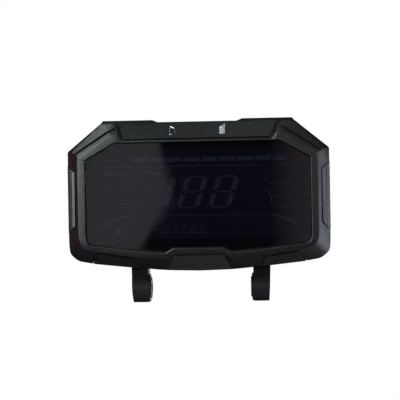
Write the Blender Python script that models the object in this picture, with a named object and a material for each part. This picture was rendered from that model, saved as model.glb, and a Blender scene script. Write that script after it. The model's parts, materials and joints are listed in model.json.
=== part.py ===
"""LCD instrument cluster for a motorcycle: a faceted bezel, two push keys and a case on two bolt legs.

+X is the rider's right, +Z is up and the display faces -Y. The origin is the middle of the bolt axis
that runs through both leg eyes. Outlines are drawn in millimetres on the body's own centre line:
x to the right, z up from the body's centre, and depth measured backward from the bezel's front plane.
"""

import math

import bmesh
import bpy
from mathutils import Matrix, Vector

for leftover in list(bpy.data.objects):
    bpy.data.objects.remove(leftover, do_unlink=True)

# ---------------------------------------------------------------- driving dimensions, in millimetres
MM = 0.001
GAP = 0.3              # air between faces that touch on the real object
BODY_Z = 58.0          # body centre line above the bolt axis
FRONT_Y = -31.0        # bezel front plane, ahead of the bolt axis

HALF_WIDTH = 80.0
RIM_TOP = 45.0
SHOULDER_TOP = 46.3    # top of the two raised shoulders behind the rim
RIM_BOTTOM = -46.1
RIM_DEPTH = 9.0        # where the sloped band meets the side wall
SKIRT_DEPTH = 16.0     # rear edge of the bezel
WALL = 2.6
LIP_STEP = 0.8         # the lens opening's edge sits this far behind the front plane
LIP_BACK = 2.6
AHEAD = -2.0           # where cutters and skin pieces begin, in front of the front plane
PAD_BACK = 13.0        # rear edge of the side trims
BADGE_BACK = 9.8

CASE_FRONT = 17.6
CASE_BACK = 33.0
CASE_WALL = 2.0

LENS_FACE = 1.3
LENS_FLANGE = (3.6, 5.2)
GASKET = (2.9, 3.3)
MASK = (5.5, 6.0)
LCD = (6.3, 9.1)
DIFFUSER = (9.4, 9.8)
GUIDE = (10.1, 12.9)
REFLECTOR = (13.2, 13.5)
FRAME = (6.3, 16.4)
PCB = (17.0, 18.6)

KEY_TRAVEL = 0.8
KEY_BACK = 11.6        # rear edge of the key's outer cap
KEY_LINER_BACK = 12.4
KEY_X = 50.5           # push point of each key
KEY_Z = -36.6
SWITCH_TOP = 13.2
PLUNGER_TOP = 12.0

SCREW_WELL = CASE_FRONT + 2.9   # floor of the wells that take the case screws' heads
CASE_SCREW_RADIUS = 1.45
PCB_SCREW_RADIUS = 1.3
LEG_SCREW_RADIUS = 2.0
LEG_PLATE = 4.0        # thickness of the leg's plate on the rear wall

LEG_INNER = 32.9
LEG_OUTER_TOP = 43.1
LEG_OUTER_LOW = 41.9
LEG_MID = 38.0
EYE_RADIUS = 8.0
EYE_BORE = 6.1         # radius of the hole that holds the rubber bush
BUSH_RADII = (4.5, 5.8)
SPACER_RADII = (3.3, 4.2)
SPACER_FLANGE = (6.5, 1.3)
AXIS_DEPTH = -FRONT_Y  # the bolt axis, behind the front plane

CASE_SCREWS = ((74.2, -4.0), (38.0, 39.4), (27.0, -39.2))
LEG_SCREW_Z = (-21.0, -31.0)
PCB_SCREWS = ((-56.0, 14.0), (56.0, 14.0), (0.0, -20.0))
SOCKET_Z = 6.0
SOCKET_HALF = (12.0, 6.5)        # half width and half height
SOCKET_MOUTH_HALF = (10.5, 5.0)
SOCKET_FLOOR = 30.0
SOCKET_BACK = 42.0

# ---------------------------------------------------------------- outlines, right half from bottom to top
OPENING_HALF = [
    (0.0, -31.2), (15.5, -31.2), (20.0, -33.7), (39.2, -32.0), (61.2, -29.6), (66.1, -28.9),
    (67.9, -26.4), (68.0, -20.6), (68.0, 16.0), (68.0, 22.0), (51.5, 31.3), (49.9, 32.2),
    (45.3, 32.2), (0.0, 32.2),
]
RING_HALF = [
    (0.0, -35.5), (14.8, -35.5), (19.2, -38.0), (39.2, -37.4), (61.2, -33.9), (69.4, -31.8),
    (72.4, -27.5), (72.5, -20.6), (72.6, 16.0), (72.6, 24.6), (52.4, 38.0), (47.9, 37.8),
    (45.3, 34.1), (0.0, 34.1),
]
RIM_HALF = [
    (0.0, RIM_BOTTOM), (19.4, -45.6), (22.9, -45.4), (42.4, -43.4), (64.8, -40.2), (73.5, -38.0),
    (78.3, -34.0), (HALF_WIDTH, -29.0), (HALF_WIDTH, 18.0), (HALF_WIDTH, 27.7), (59.0, RIM_TOP),
    (50.8, RIM_TOP), (46.8, RIM_TOP), (0.0, RIM_TOP),
]
SHOULDER = [
    (22.0, 43.6), (57.0, 43.6), (59.0, RIM_TOP - 0.1), (57.6, SHOULDER_TOP), (27.4, SHOULDER_TOP),
    (23.9, RIM_TOP - 0.1),
]
LCD_HALF = [(62.0, -28.2), (65.0, -25.0), (65.0, 20.5), (48.5, 30.6)]
FRAME_HALF = [(63.2, -30.6), (67.6, -26.2), (67.6, 21.6), (50.0, 33.6)]
FRAME_HOLE_HALF = [(62.4, -28.8), (65.8, -25.4), (65.8, 20.8), (49.4, 32.0)]
GUIDE_HALF = [(60.5, -24.2), (63.0, -22.0), (63.0, 19.5), (47.5, 28.6)]
PCB_HALF = [
    (34.0, -34.2), (38.0, -38.9), (51.0, -38.9), (56.0, -38.0), (69.0, -30.0), (69.0, 21.0),
    (51.0, 34.2),
]
KEY_OUTLINE = [(39.8, -37.8), (35.8, -48.0), (70.4, -48.0), (60.2, -34.6)]
SIDE_PAD_OUTLINE = [(75.0, -17.4), (82.0, -24.0), (82.0, 21.2), (75.4, 14.8)]
BADGE_OUTLINE = [(13.4, 36.6), (17.1, 36.8), (17.1, 43.2), (13.4, 41.2)]


def mirrored(right_half):
    """Closed outline from its right half, which runs from the bottom to the top."""
    left_half = [(-x, z) for x, z in reversed(right_half) if x > 0.0]
    return right_half + left_half


def flipped(outline):
    """The outline on the other side of the centre line, still running the same way round."""
    return [(-x, z) for x, z in reversed(outline)]


def offset(outline, distance):
    """The outline moved outward by distance, or inward when it is negative, with mitred corners."""
    moved = []
    for i, (x, z) in enumerate(outline):
        before = Vector((x, z)) - Vector(outline[i - 1])
        after = Vector(outline[(i + 1) % len(outline)]) - Vector((x, z))
        before.normalize()
        after.normalize()
        push = Vector((before.y + after.y, -before.x - after.x))
        push *= distance / (1.0 + before.dot(after))
        moved.append((x + push.x, z + push.y))
    return moved


def box_outline(x0, x1, z0, z1):
    return [(x0, z0), (x1, z0), (x1, z1), (x0, z1)]


def circle(x, z, radius, sides=20):
    turns = [2 * math.pi * (i + 0.5) / sides for i in range(sides)]
    return [(x + radius * math.cos(t), z + radius * math.sin(t)) for t in turns]


OPENING = mirrored(OPENING_HALF)
RING = mirrored(RING_HALF)
RIM = mirrored(RIM_HALF)
LCD_OUTLINE = mirrored(LCD_HALF)
GUIDE_OUTLINE = mirrored(GUIDE_HALF)

# ---------------------------------------------------------------- materials
FINISHES = {
    "bezel_plastic": ((0.022, 0.024, 0.026), 0.48, 0.0),
    "trim_plastic": ((0.05, 0.052, 0.058), 0.6, 0.0),
    "key_plastic": ((0.016, 0.016, 0.017), 0.5, 0.0),
    "badge_chrome": ((0.42, 0.44, 0.46), 0.25, 0.8),
    "lens_acrylic": ((0.012, 0.012, 0.018), 0.06, 0.0),
    "gasket_foam": ((0.02, 0.02, 0.02), 0.9, 0.0),
    "mask_film": ((0.01, 0.01, 0.012), 0.5, 0.0),
    "lcd_glass": ((0.02, 0.02, 0.035), 0.1, 0.0),
    "diffuser_film": ((0.8, 0.8, 0.8), 0.6, 0.0),
    "guide_acrylic": ((0.75, 0.8, 0.82), 0.1, 0.0),
    "reflector_film": ((0.9, 0.9, 0.9), 0.3, 0.0),
    "holder_plastic": ((0.7, 0.7, 0.68), 0.5, 0.0),
    "circuit_board": ((0.01, 0.09, 0.03), 0.4, 0.0),
    "led_package": ((0.85, 0.8, 0.55), 0.4, 0.0),
    "zebra_rubber": ((0.3, 0.3, 0.32), 0.7, 0.0),
    "chip_epoxy": ((0.015, 0.015, 0.015), 0.5, 0.0),
    "component_metal": ((0.5, 0.5, 0.5), 0.3, 0.9),
    "switch_body": ((0.1, 0.1, 0.1), 0.4, 0.0),
    "socket_nylon": ((0.02, 0.02, 0.02), 0.55, 0.0),
    "pin_brass": ((0.7, 0.5, 0.2), 0.3, 1.0),
    "seal_rubber": ((0.015, 0.015, 0.015), 0.8, 0.0),
    "case_plastic": ((0.018, 0.019, 0.02), 0.6, 0.0),
    "screw_steel": ((0.12, 0.12, 0.13), 0.4, 0.9),
    "leg_plastic": ((0.016, 0.018, 0.02), 0.58, 0.0),
    "bush_rubber": ((0.012, 0.012, 0.012), 0.85, 0.0),
    "spacer_steel": ((0.06, 0.06, 0.065), 0.45, 0.85),
    "vent_plastic": ((0.03, 0.03, 0.03), 0.7, 0.0),
}


def finish_of(node, finish):
    """A Principled material of the node's own, in the named finish."""
    colour, roughness, metallic = FINISHES[finish]
    material = bpy.data.materials.new(f"{node}_{finish}")
    material.use_nodes = True
    shader = material.node_tree.nodes["Principled BSDF"]
    shader.inputs["Base Color"].default_value = (*colour, 1.0)
    shader.inputs["Roughness"].default_value = roughness
    shader.inputs["Metallic"].default_value = metallic
    return material


# ---------------------------------------------------------------- solids
def at(x, depth, z):
    """World place of a point given on the body's centre line."""
    return Vector((x, FRONT_Y + depth, BODY_Z + z)) * MM


def add_object(name, bm, finish=None):
    """An object from a bmesh; without a finish it is only a cutter or a guide."""
    bmesh.ops.recalc_face_normals(bm, faces=bm.faces)
    mesh = bpy.data.meshes.new(name)
    bm.to_mesh(mesh)
    bm.free()
    made = bpy.data.objects.new(name, mesh)
    bpy.context.scene.collection.objects.link(made)
    if finish:
        mesh.materials.append(finish_of(name, finish))
    else:
        made.hide_render = True
        made.display_type = "WIRE"
    return made


def set_origin(made, point):
    """Moves the object's origin, not its shape, to a world point."""
    made.data.transform(Matrix.Translation(-point))
    made.location = point
    return made


def loft(name, sections, finish=None, frame=False):
    """A solid through (outline, depth) sections; as a frame, the last section meets the first."""
    bm = bmesh.new()
    rings = [[bm.verts.new(at(x, depth, z)) for x, z in outline] for outline, depth in sections]
    count = len(rings[0])
    pairs = list(zip(rings, rings[1:]))
    if frame:
        pairs.append((rings[-1], rings[0]))
    else:
        bm.faces.new(rings[0])
        bm.faces.new(rings[-1])
    sides = []
    for front, back in pairs:
        for i in range(count):
            j = (i + 1) % count
            sides.append(bm.faces.new((front[i], front[j], back[j], back[i])))
    if any(outline != sections[0][0] for outline, _ in sections):
        bmesh.ops.triangulate(bm, faces=sides)
    return add_object(name, bm, finish)


def prism(name, outline, depths, finish=None):
    return loft(name, [(outline, depths[0]), (outline, depths[1])], finish)


def plate_frame(name, outer, hole, depths, finish):
    """A flat frame: outer and hole have the same number of points."""
    front, back = depths
    return loft(name, [(hole, front), (outer, front), (outer, back), (hole, back)], finish, frame=True)


def block(name, x_range, z_range, depths, finish=None):
    return prism(name, box_outline(*x_range, *z_range), depths, finish)


def pegs(name, centres, radius, depths, sides=20):
    """A guide that holds several round pegs along the depth."""
    bm = bmesh.new()
    for x, z in centres:
        front = [bm.verts.new(at(px, depths[0], pz)) for px, pz in circle(x, z, radius, sides)]
        back = [bm.verts.new(at(px, depths[1], pz)) for px, pz in circle(x, z, radius, sides)]
        bm.faces.new(front)
        bm.faces.new(back)
        for i in range(sides):
            j = (i + 1) % sides
            bm.faces.new((front[i], front[j], back[j], back[i]))
    return add_object(name, bm)


def turned(name, profile, place, direction, finish=None, sides=20):
    """A closed (radius, height) profile turned round an axis that starts at place."""
    bm = bmesh.new()
    turn = direction.normalized().to_track_quat("Z", "Y").to_matrix()
    columns = []
    for i in range(sides):
        angle = 2 * math.pi * i / sides
        spoke = Vector((math.cos(angle), math.sin(angle), 0.0))
        column = []
        for radius, height in profile:
            local = spoke * radius + Vector((0.0, 0.0, height))
            column.append(bm.verts.new(place + turn @ local * MM))
        columns.append(column)
    for i in range(sides):
        this, following = columns[i], columns[(i + 1) % sides]
        for k in range(len(profile)):
            m = (k + 1) % len(profile)
            bm.faces.new((this[k], following[k], following[m], this[m]))
    bmesh.ops.remove_doubles(bm, verts=bm.verts, dist=0.00001)
    made = add_object(name, bm, finish)
    made.data.shade_smooth()
    made.data.set_sharp_from_angle(angle=math.radians(35))
    return made


def combine(target, operation, *others):
    for other in others:
        modifier = target.modifiers.new(other.name, "BOOLEAN")
        modifier.operation = operation
        modifier.solver = "EXACT"
        modifier.object = other
    return target


def cut(target, *cutters):
    return combine(target, "DIFFERENCE", *cutters)


def join(target, *others):
    return combine(target, "UNION", *others)


def keep_inside(target, *guides):
    return combine(target, "INTERSECT", *guides)


CORES = {}


def core(sink):
    """The bezel's outer form as a solid, sunk below the real surface by about sink millimetres."""
    if sink not in CORES:
        sections = [
            (RING, sink * 1.25),
            (offset(RIM, -sink), RIM_DEPTH + sink * 0.5),
            (offset(RIM, -0.6 - sink), SKIRT_DEPTH + 1.0),
        ]
        CORES[sink] = loft(f"guide_core_{len(CORES)}", sections)
    return CORES[sink]


def skin_piece(name, outline, depths, outer_sink, inner_sink, finish=None):
    """The part of the bezel's skin inside an outline, between two depths below its surface."""
    return cut(keep_inside(prism(name, outline, depths, finish), core(outer_sink)), core(inner_sink))


SIDES = {"left": -1, "right": 1}


def side_outline(side, outline):
    return outline if side == "right" else flipped(outline)


# ---------------------------------------------------------------- bezel, trims and keys
def make_bezel():
    bezel = loft(
        "front_bezel",
        [
            (OPENING, LIP_STEP),
            (RING, 0.0),
            (RIM, RIM_DEPTH),
            (offset(RIM, -0.6), SKIRT_DEPTH),
            (offset(RIM, -3.0), SKIRT_DEPTH),
            (offset(RIM, -WALL), RIM_DEPTH + 1.2),
            (RING, LIP_BACK),
            (OPENING, LIP_BACK),
        ],
        "bezel_plastic",
        frame=True,
    )
    spots = [(x * s, z) for x, z in CASE_SCREWS for s in SIDES.values()]
    for side in SIDES:
        shoulder = side_outline(side, SHOULDER)
        join(bezel, prism(f"guide_{side}_shoulder", shoulder, (RIM_DEPTH - 0.4, SKIRT_DEPTH - 0.2)))
    bosses = keep_inside(pegs("guide_bezel_bosses", spots, 2.8, (0.5, CASE_FRONT - GAP)), core(0.3))
    join(bezel, bosses)
    pilot_radius = CASE_SCREW_RADIUS + GAP
    cut(bezel, pegs("cut_bezel_pilots", spots, pilot_radius, (9.0, CASE_FRONT + 1.0), sides=12))
    for side in SIDES:
        hole_back = KEY_BACK + KEY_TRAVEL + 2 * GAP
        key_hole = prism(f"cut_{side}_key", side_outline(side, KEY_OUTLINE), (AHEAD, hole_back))
        pad = side_outline(side, offset(SIDE_PAD_OUTLINE, GAP))
        badge = side_outline(side, offset(BADGE_OUTLINE, GAP))
        pad_pocket = cut(prism(f"cut_{side}_pad", pad, (AHEAD, PAD_BACK + GAP)), core(1.3))
        badge_pocket = cut(prism(f"cut_{side}_badge", badge, (AHEAD, BADGE_BACK)), core(1.2))
        cut(bezel, key_hole, pad_pocket, badge_pocket)
    return bezel


def make_inlays():
    for side in SIDES:
        pad = side_outline(side, SIDE_PAD_OUTLINE)
        badge = side_outline(side, BADGE_OUTLINE)
        skin_piece(f"{side}_side_trim", pad, (AHEAD, PAD_BACK), -0.35, 0.9, "trim_plastic")
        skin_piece(f"{side}_badge", badge, (AHEAD, BADGE_BACK), -0.2, 0.85, "badge_chrome")


def make_key(side):
    """A push key: the outer cap, a liner that holds it in the bezel, and a foot over the switch."""
    sign = SIDES[side]
    cap_outline = side_outline(side, offset(KEY_OUTLINE, -0.4))
    liner_outline = side_outline(side, offset(KEY_OUTLINE, 1.0))
    key = skin_piece(f"{side}_key", cap_outline, (AHEAD, KEY_BACK), 0.0, 1.9, "key_plastic")
    liner = skin_piece(f"guide_{side}_liner", liner_outline, (AHEAD, KEY_LINER_BACK), 3.0, 4.3)
    centre = KEY_X * sign
    neck = block(f"guide_{side}_neck", (centre - 2.5, centre + 2.5), (-39.6, -37.2), (5.6, 11.0))
    foot = block(f"guide_{side}_foot", (centre - 3.0, centre + 3.0), (-38.8, -34.8), (10.3, 11.7))
    join(key, liner, neck, foot)
    return set_origin(key, at(centre, PLUNGER_TOP - GAP, KEY_Z))


def make_switch(side):
    centre = KEY_X * SIDES[side]
    body = block(
        f"{side}_switch", (centre - 2.2, centre + 2.2), (KEY_Z - 2.2, KEY_Z + 2.2),
        (SWITCH_TOP, PCB[0] - GAP), "switch_body",
    )
    cut(body, pegs(f"cut_{side}_plunger", [(centre, KEY_Z)], 1.6, (SWITCH_TOP - 1.0, SWITCH_TOP + 2.4)))
    profile = [(0.0, 0.0), (0.9, 0.0), (1.2, 0.3), (1.2, 2.4), (0.0, 2.4)]
    place = at(centre, PLUNGER_TOP, KEY_Z)
    plunger = turned(f"{side}_plunger", profile, place, Vector((0, 1, 0)), "switch_body", sides=16)
    set_origin(plunger, place)


# ---------------------------------------------------------------- lens and display stack
def make_lens():
    flange = offset(OPENING, 2.4)
    window = offset(OPENING, -GAP)
    sections = [
        (window, LENS_FACE), (window, LENS_FLANGE[0]), (flange, LENS_FLANGE[0]), (flange, LENS_FLANGE[1]),
    ]
    loft("lens", sections, "lens_acrylic")
    plate_frame("lens_gasket", offset(OPENING, 1.6), offset(OPENING, 0.1), GASKET, "gasket_foam")


def make_display():
    plate_frame("display_mask", mirrored(FRAME_HALF), offset(LCD_OUTLINE, -2.0), MASK, "mask_film")
    prism("lcd_panel", LCD_OUTLINE, LCD, "lcd_glass")
    prism("diffuser_sheet", GUIDE_OUTLINE, DIFFUSER, "diffuser_film")
    prism("light_guide", GUIDE_OUTLINE, GUIDE, "guide_acrylic")
    prism("reflector_sheet", GUIDE_OUTLINE, REFLECTOR, "reflector_film")
    plate_frame("lcd_frame", mirrored(FRAME_HALF), mirrored(FRAME_HOLE_HALF), FRAME, "holder_plastic")
    block("zebra_strip", (-55.0, 55.0), (-27.6, -25.0), (LCD[1] + GAP, PCB[0] - GAP), "zebra_rubber")
    block("backlight_strip", (-46.0, 46.0), (30.7, 31.5), (DIFFUSER[1], PCB[0] - GAP), "circuit_board")
    for number in range(4):
        x = -36.0 + 24.0 * number
        led = (f"backlight_led_{number + 1}", (x - 2.0, x + 2.0), (29.0, 30.4))
        block(*led, (10.3, 12.6), "led_package")


# ---------------------------------------------------------------- circuit board
def socket_outline(half_sizes, grow=0.0):
    half_width, half_height = half_sizes
    x, z = half_width + grow, half_height + grow
    return box_outline(-x, x, SOCKET_Z - z, SOCKET_Z + z)


def make_board():
    board = prism("main_pcb", mirrored(PCB_HALF), PCB, "circuit_board")
    through = (PCB[0] - 1.0, PCB[1] + 1.0)
    cut(board, pegs("cut_board_holes", PCB_SCREWS, PCB_SCREW_RADIUS + GAP, through, sides=12))
    back = PCB[1] + GAP
    block("mcu_chip", (-40.0, -26.0), (8.0, 22.0), (back, back + 1.4), "chip_epoxy")
    block("lcd_driver_chip", (24.0, 36.0), (-6.0, 6.0), (back, back + 1.4), "chip_epoxy")
    block("crystal", (-22.0, -17.5), (9.0, 20.0), (back, back + 3.5), "component_metal")
    block("voltage_regulator", (22.0, 32.0), (16.0, 25.0), (back, back + 4.4), "chip_epoxy")
    can = [(0.0, 0.0), (4.0, 0.0), (4.0, 9.6), (3.5, 10.0), (0.0, 10.0)]
    for number, x in ((1, 42.0), (2, 52.0)):
        place = at(x, back, 20.0)
        turned(f"capacitor_{number}", can, place, Vector((0, 1, 0)), "component_metal", sides=16)
    # the wire socket stands on the board and passes through the rear wall
    socket = prism("wire_socket", socket_outline(SOCKET_HALF), (back, SOCKET_BACK), "socket_nylon")
    mouth = socket_outline(SOCKET_MOUTH_HALF)
    cut(socket, prism("cut_socket_mouth", mouth, (SOCKET_FLOOR, SOCKET_BACK + 2.0)))
    base = (SOCKET_FLOOR + GAP, SOCKET_FLOOR + 1.6)
    header = prism("pin_header", socket_outline(SOCKET_MOUTH_HALF, -0.5), base, "pin_brass")
    for row in range(2):
        for column in range(4):
            x = -6.6 + 4.4 * column
            z = SOCKET_Z - 2.0 + 4.0 * row
            name = f"guide_pin_{row}_{column}"
            pin = block(name, (x - 0.5, x + 0.5), (z - 0.5, z + 0.5), (base[1] - 0.6, SOCKET_FLOOR + 6.0))
            join(header, pin)
    collar = socket_outline(SOCKET_HALF, 2.6)
    inside = socket_outline(SOCKET_HALF, GAP)
    plate_frame("socket_seal", collar, inside, (CASE_BACK + GAP, CASE_BACK + 1.8), "seal_rubber")


# ---------------------------------------------------------------- rear case
def make_case():
    seal_out, seal_in = offset(RIM, -0.9), offset(RIM, -2.4)
    plate_frame("case_seal", seal_out, seal_in, (SKIRT_DEPTH + GAP, CASE_FRONT - GAP), "seal_rubber")
    case = loft(
        "rear_case",
        [
            (offset(RIM, -0.5), CASE_FRONT),
            (offset(RIM, -0.8), CASE_FRONT + 2.4),
            (offset(RIM, -5.0), CASE_BACK - 3.0),
            (offset(RIM, -8.0), CASE_BACK),
        ],
        "case_plastic",
    )
    cavity = loft(
        "cut_case_cavity",
        [
            (offset(RIM, -3.0), CASE_FRONT - 1.0),
            (offset(RIM, -3.0), CASE_FRONT + 2.4),
            (offset(RIM, -7.0), CASE_BACK - 3.6),
            (offset(RIM, -9.6), CASE_BACK - CASE_WALL),
        ],
    )
    spots = [(x * s, z) for x, z in CASE_SCREWS for s in SIDES.values()]
    leg_spots = [(LEG_MID * s, z) for z in LEG_SCREW_Z for s in SIDES.values()]
    cut(cavity, pegs("guide_case_pillars", spots, 4.3, (CASE_FRONT - 2.0, CASE_BACK + 1.0)))
    cut(cavity, pegs("guide_leg_pillars", leg_spots, 4.2, (25.0, CASE_BACK + 1.0)))
    cut(cavity, pegs("guide_pcb_posts", PCB_SCREWS, 3.0, (PCB[1] + GAP, CASE_BACK + 1.0)))
    cut(case, cavity)
    cut(case, pegs("cut_screw_wells", spots, 3.2, (SCREW_WELL, CASE_BACK + 2.0)))
    holes = (
        ("cut_screw_holes", spots, CASE_SCREW_RADIUS, (CASE_FRONT - 2.0, CASE_BACK)),
        ("cut_leg_screws", leg_spots, LEG_SCREW_RADIUS, (26.0, CASE_BACK + 2.0)),
        ("cut_pcb_pilots", PCB_SCREWS, PCB_SCREW_RADIUS, (PCB[1] - 1.0, 28.0)),
    )
    for name, centres, radius, depths in holes:
        cut(case, pegs(name, centres, radius + GAP, depths, sides=12))
    cut(case, prism("cut_socket_hole", socket_outline(SOCKET_HALF, GAP), (25.0, CASE_BACK + 3.0)))
    vent_spot = (50.0, -4.0)
    cut(case, pegs("cut_vent", [vent_spot], 2.8, (28.0, 36.0)))
    vent = [(0.0, -3.0), (2.5, -3.0), (2.5, 0.3), (4.6, 0.3), (4.6, 1.2), (3.9, 1.9), (0.0, 1.9)]
    turned("vent_plug", vent, at(vent_spot[0], CASE_BACK, vent_spot[1]), Vector((0, 1, 0)), "vent_plastic")


def screw(name, place, direction, shaft, length, head):
    """A pan-head screw; place is under its head and direction points from the tip to the head."""
    radius, height = head
    hollow = 0.45 * height
    profile = [
        (0.0, -length), (shaft * 0.6, -length), (shaft, -length + shaft), (shaft, 0.0), (radius, 0.0),
        (radius, 0.55 * height), (0.72 * radius, height), (0.45 * radius, height),
        (0.45 * radius, height - hollow), (0.0, height - hollow),
    ]
    turned(name, profile, place, direction, "screw_steel", sides=16)


def make_screws():
    number = 0
    for x, z in CASE_SCREWS:
        for sign in SIDES.values():
            number += 1
            seat = at(x * sign, SCREW_WELL + GAP, z)
            head = (2.7, 2.2)
            screw(f"case_screw_{number}", seat, Vector((0, 1, 0)), CASE_SCREW_RADIUS, 11.0, head)
    for number, (x, z) in enumerate(PCB_SCREWS, start=1):
        seat = at(x, PCB[0] - GAP, z)
        screw(f"pcb_screw_{number}", seat, Vector((0, -1, 0)), PCB_SCREW_RADIUS, 9.0, (2.4, 1.8))
    number = 0
    for sign in SIDES.values():
        for z in LEG_SCREW_Z:
            number += 1
            seat = at(LEG_MID * sign, CASE_BACK + LEG_PLATE + 2 * GAP, z)
            screw(f"leg_screw_{number}", seat, Vector((0, 1, 0)), LEG_SCREW_RADIUS, 11.0, (3.6, 2.4))


# ---------------------------------------------------------------- legs, bushes and spacers
def leg_profile():
    """Side view of a leg as (depth, z): a plate on the rear wall, an arm and the round eye."""
    plate_front = CASE_BACK + GAP
    plate_back = plate_front + LEG_PLATE
    eye_depth, eye_z = AXIS_DEPTH, -BODY_Z
    steps = 14
    arc = []
    for i in range(steps + 1):
        turn = math.radians(20.0 - 220.0 * i / steps)
        point = (eye_depth + EYE_RADIUS * math.cos(turn), eye_z + EYE_RADIUS * math.sin(turn))
        arc.append(point)
    back_edge = [(plate_front, -16.5), (plate_back, -16.5), (plate_back, -47.0)]
    front_edge = [(25.5, -49.5), (25.5, -45.6), (plate_front, -38.6)]
    return back_edge + arc + front_edge


def make_leg(side):
    sign = SIDES[side]
    profile = leg_profile()
    lowest = -BODY_Z - EYE_RADIUS
    straight_from = -46.0
    bm = bmesh.new()

    def outer_x(z):
        share = min(max((straight_from - z) / (straight_from - lowest), 0.0), 1.0)
        return LEG_OUTER_TOP + (LEG_OUTER_LOW - LEG_OUTER_TOP) * share

    inner = [bm.verts.new(at(sign * LEG_INNER, depth, z)) for depth, z in profile]
    outer = [bm.verts.new(at(sign * outer_x(z), depth, z)) for depth, z in profile]
    bm.faces.new(inner)
    bm.faces.new(outer)
    for i in range(len(profile)):
        j = (i + 1) % len(profile)
        bm.faces.new((inner[i], inner[j], outer[j], outer[i]))
    bmesh.ops.triangulate(bm, faces=bm.faces)
    leg = add_object(f"{side}_leg", bm, "leg_plastic")
    along = Vector((sign, 0, 0))
    inner_face = at(sign * LEG_INNER, AXIS_DEPTH, -BODY_Z)
    bore = turned(
        f"cut_{side}_eye", [(0.0, -2.0), (EYE_BORE, -2.0), (EYE_BORE, 14.0), (0.0, 14.0)],
        inner_face, along, sides=28,
    )
    spots = [(LEG_MID * sign, z) for z in LEG_SCREW_Z]
    through = (CASE_BACK - 1.0, CASE_BACK + LEG_PLATE + 2.0)
    holes = pegs(f"cut_{side}_leg_holes", spots, LEG_SCREW_RADIUS + GAP, through, sides=12)
    cut(leg, bore, holes)

    low, high = BUSH_RADII
    bush = [(low, 0.2), (high, 0.2), (high, 8.4), (low, 8.4)]
    turned(f"{side}_bush", bush, inner_face, along, "bush_rubber", sides=24)
    tube_in, tube_out = SPACER_RADII
    rim, thick = SPACER_FLANGE
    spacer = [
        (tube_in, -GAP - thick), (rim, -GAP - thick), (rim, -GAP), (tube_out, -GAP), (tube_out, 9.3),
        (tube_in, 9.3),
    ]
    turned(f"{side}_spacer", spacer, inner_face, along, "spacer_steel", sides=24)


make_bezel()
make_inlays()
make_lens()
make_display()
make_board()
make_case()
make_screws()
for side_name in SIDES:
    make_key(side_name)
    make_switch(side_name)
    make_leg(side_name)
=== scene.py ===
"""Looks of an LCD instrument cluster for a motorcycle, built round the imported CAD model.

Places are in millimetres on the body's own centre line, as in the CAD model: x to the right, z up from
the body's centre, depth measured backward from the bezel's front plane. at() turns them into world metres.

A "sink" is how far a surface lies below the bezel's outer form, in millimetres. A negative one stands
proud.
"""

import json
import math

import bmesh
import bpy
from mathutils import Matrix, Vector


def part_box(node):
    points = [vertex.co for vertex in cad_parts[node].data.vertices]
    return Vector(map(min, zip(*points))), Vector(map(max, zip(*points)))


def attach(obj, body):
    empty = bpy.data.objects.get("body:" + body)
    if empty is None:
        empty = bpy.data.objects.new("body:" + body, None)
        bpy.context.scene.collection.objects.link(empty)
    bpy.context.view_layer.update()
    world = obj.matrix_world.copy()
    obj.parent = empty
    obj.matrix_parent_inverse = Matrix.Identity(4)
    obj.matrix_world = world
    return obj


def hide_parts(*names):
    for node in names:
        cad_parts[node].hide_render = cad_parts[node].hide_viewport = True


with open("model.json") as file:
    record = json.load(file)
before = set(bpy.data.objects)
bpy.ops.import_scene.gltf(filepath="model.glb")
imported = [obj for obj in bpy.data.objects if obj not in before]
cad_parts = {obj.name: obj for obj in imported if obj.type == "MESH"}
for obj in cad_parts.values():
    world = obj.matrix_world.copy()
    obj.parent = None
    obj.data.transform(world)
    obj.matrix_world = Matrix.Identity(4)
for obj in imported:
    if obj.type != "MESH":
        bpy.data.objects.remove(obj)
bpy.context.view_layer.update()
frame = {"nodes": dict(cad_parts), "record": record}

# ---------------------------------------------------------------- shape, in millimetres
MM = 0.001
SHOULDER_TOP = 46.3     # top of the bezel above the body's centre
FRONT_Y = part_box("front_bezel")[0].y / MM
CENTRE_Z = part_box("front_bezel")[1].z / MM - SHOULDER_TOP
SIDES = {"left": -1, "right": 1}

RIM_DEPTH = 9.0         # where the sloped band meets the side wall
SKIRT_DEPTH = 16.0
LIP_BACK = 2.6
CASE_BACK = 33.0
AHEAD = -2.0            # guides and cutters begin here, in front of the front plane
BAND_SINK = 0.25        # the band lies a little below the CAD surface, and the raised panels above it
TOP_SINK = -0.4
LOW_SINK = -0.1
CORNER_SINK = -0.8
ALL_ABOVE = -2.2        # above every plate, for cutters
PLATE_ROOT = 0.9        # the raised plates reach this far below the outer form, into the band
# how far a sink moves each line of the outer form backward, as a share of it; the break line moves inward
# as far as backward, because the band slopes by roughly 45 degrees
RING_SHARE, BREAK_LINE_SHARE, RIM_SHARE = 1.25, 0.7, 0.5

# right halves, from the bottom to the top
OPENING_HALF = [
    (0.0, -31.8), (15.5, -31.8), (20.0, -34.6), (39.2, -32.9), (61.4, -30.1), (66.2, -29.3),
    (68.0, -26.7), (68.1, -20.6), (68.1, 16.0), (68.1, 21.8), (51.5, 31.3), (49.9, 32.2),
    (45.3, 32.2), (0.0, 32.2),
]
RING_HALF = [
    (0.0, -35.4), (14.8, -35.4), (19.2, -37.8), (39.2, -36.8), (61.2, -33.5), (69.4, -31.6),
    (72.4, -27.5), (72.7, -20.6), (72.8, 16.0), (72.8, 24.2), (52.4, 37.4), (47.9, 37.2),
    (45.3, 33.4), (0.0, 33.4),
]
RIM_HALF = [
    (0.0, -46.1), (19.4, -45.6), (22.9, -45.4), (42.4, -43.6), (64.8, -41.2), (74.4, -39.4),
    (79.4, -35.0), (80.0, -29.0), (80.0, 18.0), (80.0, 27.7), (59.0, 45.0), (50.8, 45.0),
    (46.8, 45.0), (0.0, 45.0),
]
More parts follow.
